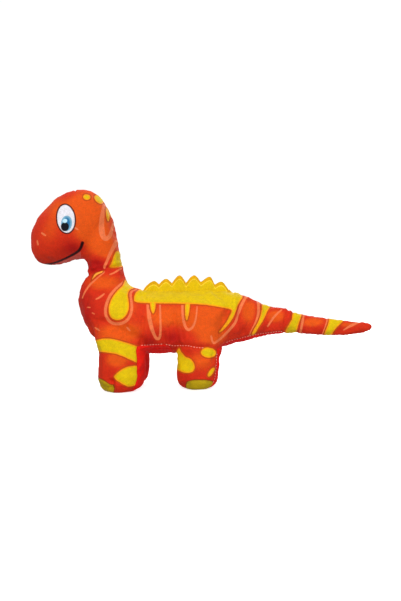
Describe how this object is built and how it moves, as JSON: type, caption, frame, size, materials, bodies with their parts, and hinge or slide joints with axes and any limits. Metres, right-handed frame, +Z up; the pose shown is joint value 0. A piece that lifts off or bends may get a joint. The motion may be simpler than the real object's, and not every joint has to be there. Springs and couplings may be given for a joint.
{
  "type": "stuffed dinosaur",
  "caption": "Soft printed plush dinosaur with a long neck and tail, standing on stubby legs, with a crest of rounded teeth along its back.",
  "frame": {"origin": "on the ground, under the middle of the toy's length and width", "axes": "+X from the nose to the tail, +Y to the toy's right side, +Z up"},
  "size_m": [0.4013, 0.0872, 0.2383],
  "materials": {
    "printed_plush": "short plush printed orange-red with yellow marks",
    "plain_red_plush": "short plain red plush",
    "yellow_crest_plush": "short yellow plush",
    "fibre_filling": "loose white polyester fibre"
  },
  "bodies": {
    "torso": {"torso_side_panel_left": "printed_plush", "torso_side_panel_right": "printed_plush", "torso_stuffing": "fibre_filling", "torso_under_panel_left": "plain_red_plush", "torso_under_panel_right": "plain_red_plush"},
    "neck": {"neck_side_panel_left": "printed_plush", "neck_side_panel_right": "printed_plush", "neck_stuffing": "fibre_filling"},
    "head": {"head_side_panel_left": "printed_plush", "head_side_panel_right": "printed_plush", "head_stuffing": "fibre_filling"},
    "tail_base": {"tail_base_side_panel_left": "printed_plush", "tail_base_side_panel_right": "printed_plush", "tail_base_stuffing": "fibre_filling", "tail_base_under_panel_left": "plain_red_plush", "tail_base_under_panel_right": "plain_red_plush"},
    "tail_tip": {"tail_tip_side_panel_left": "printed_plush", "tail_tip_side_panel_right": "printed_plush", "tail_tip_stuffing": "fibre_filling"},
    "crest": {"crest_face_left": "yellow_crest_plush", "crest_face_right": "yellow_crest_plush", "crest_wadding": "fibre_filling"},
    "front_leg_left": {"front_leg_inner_panel_left": "plain_red_plush", "front_leg_outer_panel_left": "printed_plush", "front_leg_stuffing_left": "fibre_filling"},
    "front_leg_right": {"front_leg_inner_panel_right": "plain_red_plush", "front_leg_outer_panel_right": "printed_plush", "front_leg_stuffing_right": "fibre_filling"},
    "rear_leg_left": {"rear_leg_inner_panel_left": "plain_red_plush", "rear_leg_outer_panel_left": "printed_plush", "rear_leg_stuffing_left": "fibre_filling"},
    "rear_leg_right": {"rear_leg_inner_panel_right": "plain_red_plush", "rear_leg_outer_panel_right": "printed_plush", "rear_leg_stuffing_right": "fibre_filling"}
  },
  "joints": [
    {"name": "neck_turn", "type": "hinge", "parent": "torso", "child": "neck", "pos_m": [-0.1145, 0, 0.124], "axis": [0, 0, 1], "range_deg": [-25, 25], "stiffness_Nm_per_rad": 0.12, "deforming": ["neck_side_panel_left", "neck_side_panel_right", "torso_side_panel_left", "torso_side_panel_right"]},
    {"name": "head_nod", "type": "hinge", "parent": "neck", "child": "head", "pos_m": [-0.114, 0, 0.15], "axis": [0, 1, 0], "range_deg": [-15, 15], "stiffness_Nm_per_rad": 0.18, "deforming": ["head_side_panel_left", "head_side_panel_right"]},
    {"name": "tail_swing", "type": "hinge", "parent": "torso", "child": "tail_base", "pos_m": [0.06, 0, 0.08], "axis": [0, 0, 1], "range_deg": [-25, 25], "stiffness_Nm_per_rad": 0.1, "deforming": ["tail_base_side_panel_left", "tail_base_side_panel_right", "tail_base_under_panel_left", "tail_base_under_panel_right", "torso_under_panel_left", "torso_under_panel_right"]},
    {"name": "tail_tip_bend", "type": "hinge", "parent": "tail_base", "child": "tail_tip", "pos_m": [0.111, 0, 0.071], "axis": [0, 1, 0], "range_deg": [-25, 25], "stiffness_Nm_per_rad": 0.03, "deforming": ["tail_tip_side_panel_left", "tail_tip_side_panel_right"]},
    {"name": "front_leg_left_swing", "type": "hinge", "parent": "torso", "child": "front_leg_left", "pos_m": [-0.0963, -0.025, 0.062], "axis": [0, 1, 0], "range_deg": [-12, 12], "stiffness_Nm_per_rad": 0.25, "deforming": ["front_leg_outer_panel_left", "front_leg_inner_panel_left"]},
    {"name": "front_leg_right_swing", "type": "hinge", "parent": "torso", "child": "front_leg_right", "pos_m": [-0.0963, 0.025, 0.062], "axis": [0, 1, 0], "range_deg": [-12, 12], "stiffness_Nm_per_rad": 0.25, "deforming": ["front_leg_outer_panel_right", "front_leg_inner_panel_right"]},
    {"name": "rear_leg_left_swing", "type": "hinge", "parent": "torso", "child": "rear_leg_left", "pos_m": [-0.0048, -0.025, 0.062], "axis": [0, 1, 0], "range_deg": [-12, 12], "stiffness_Nm_per_rad": 0.25, "deforming": ["rear_leg_outer_panel_left", "rear_leg_inner_panel_left"]},
    {"name": "rear_leg_right_swing", "type": "hinge", "parent": "torso", "child": "rear_leg_right", "pos_m": [-0.0048, 0.025, 0.062], "axis": [0, 1, 0], "range_deg": [-12, 12], "stiffness_Nm_per_rad": 0.25, "deforming": ["rear_leg_outer_panel_right", "rear_leg_inner_panel_right"]},
    {"name": "crest_flop", "type": "hinge", "parent": "torso", "child": "crest", "pos_m": [-0.067, 0, 0.1182], "axis": [0.9987, 0, -0.0519], "range_deg": [-20, 20], "stiffness_Nm_per_rad": 0.01}
  ]
}
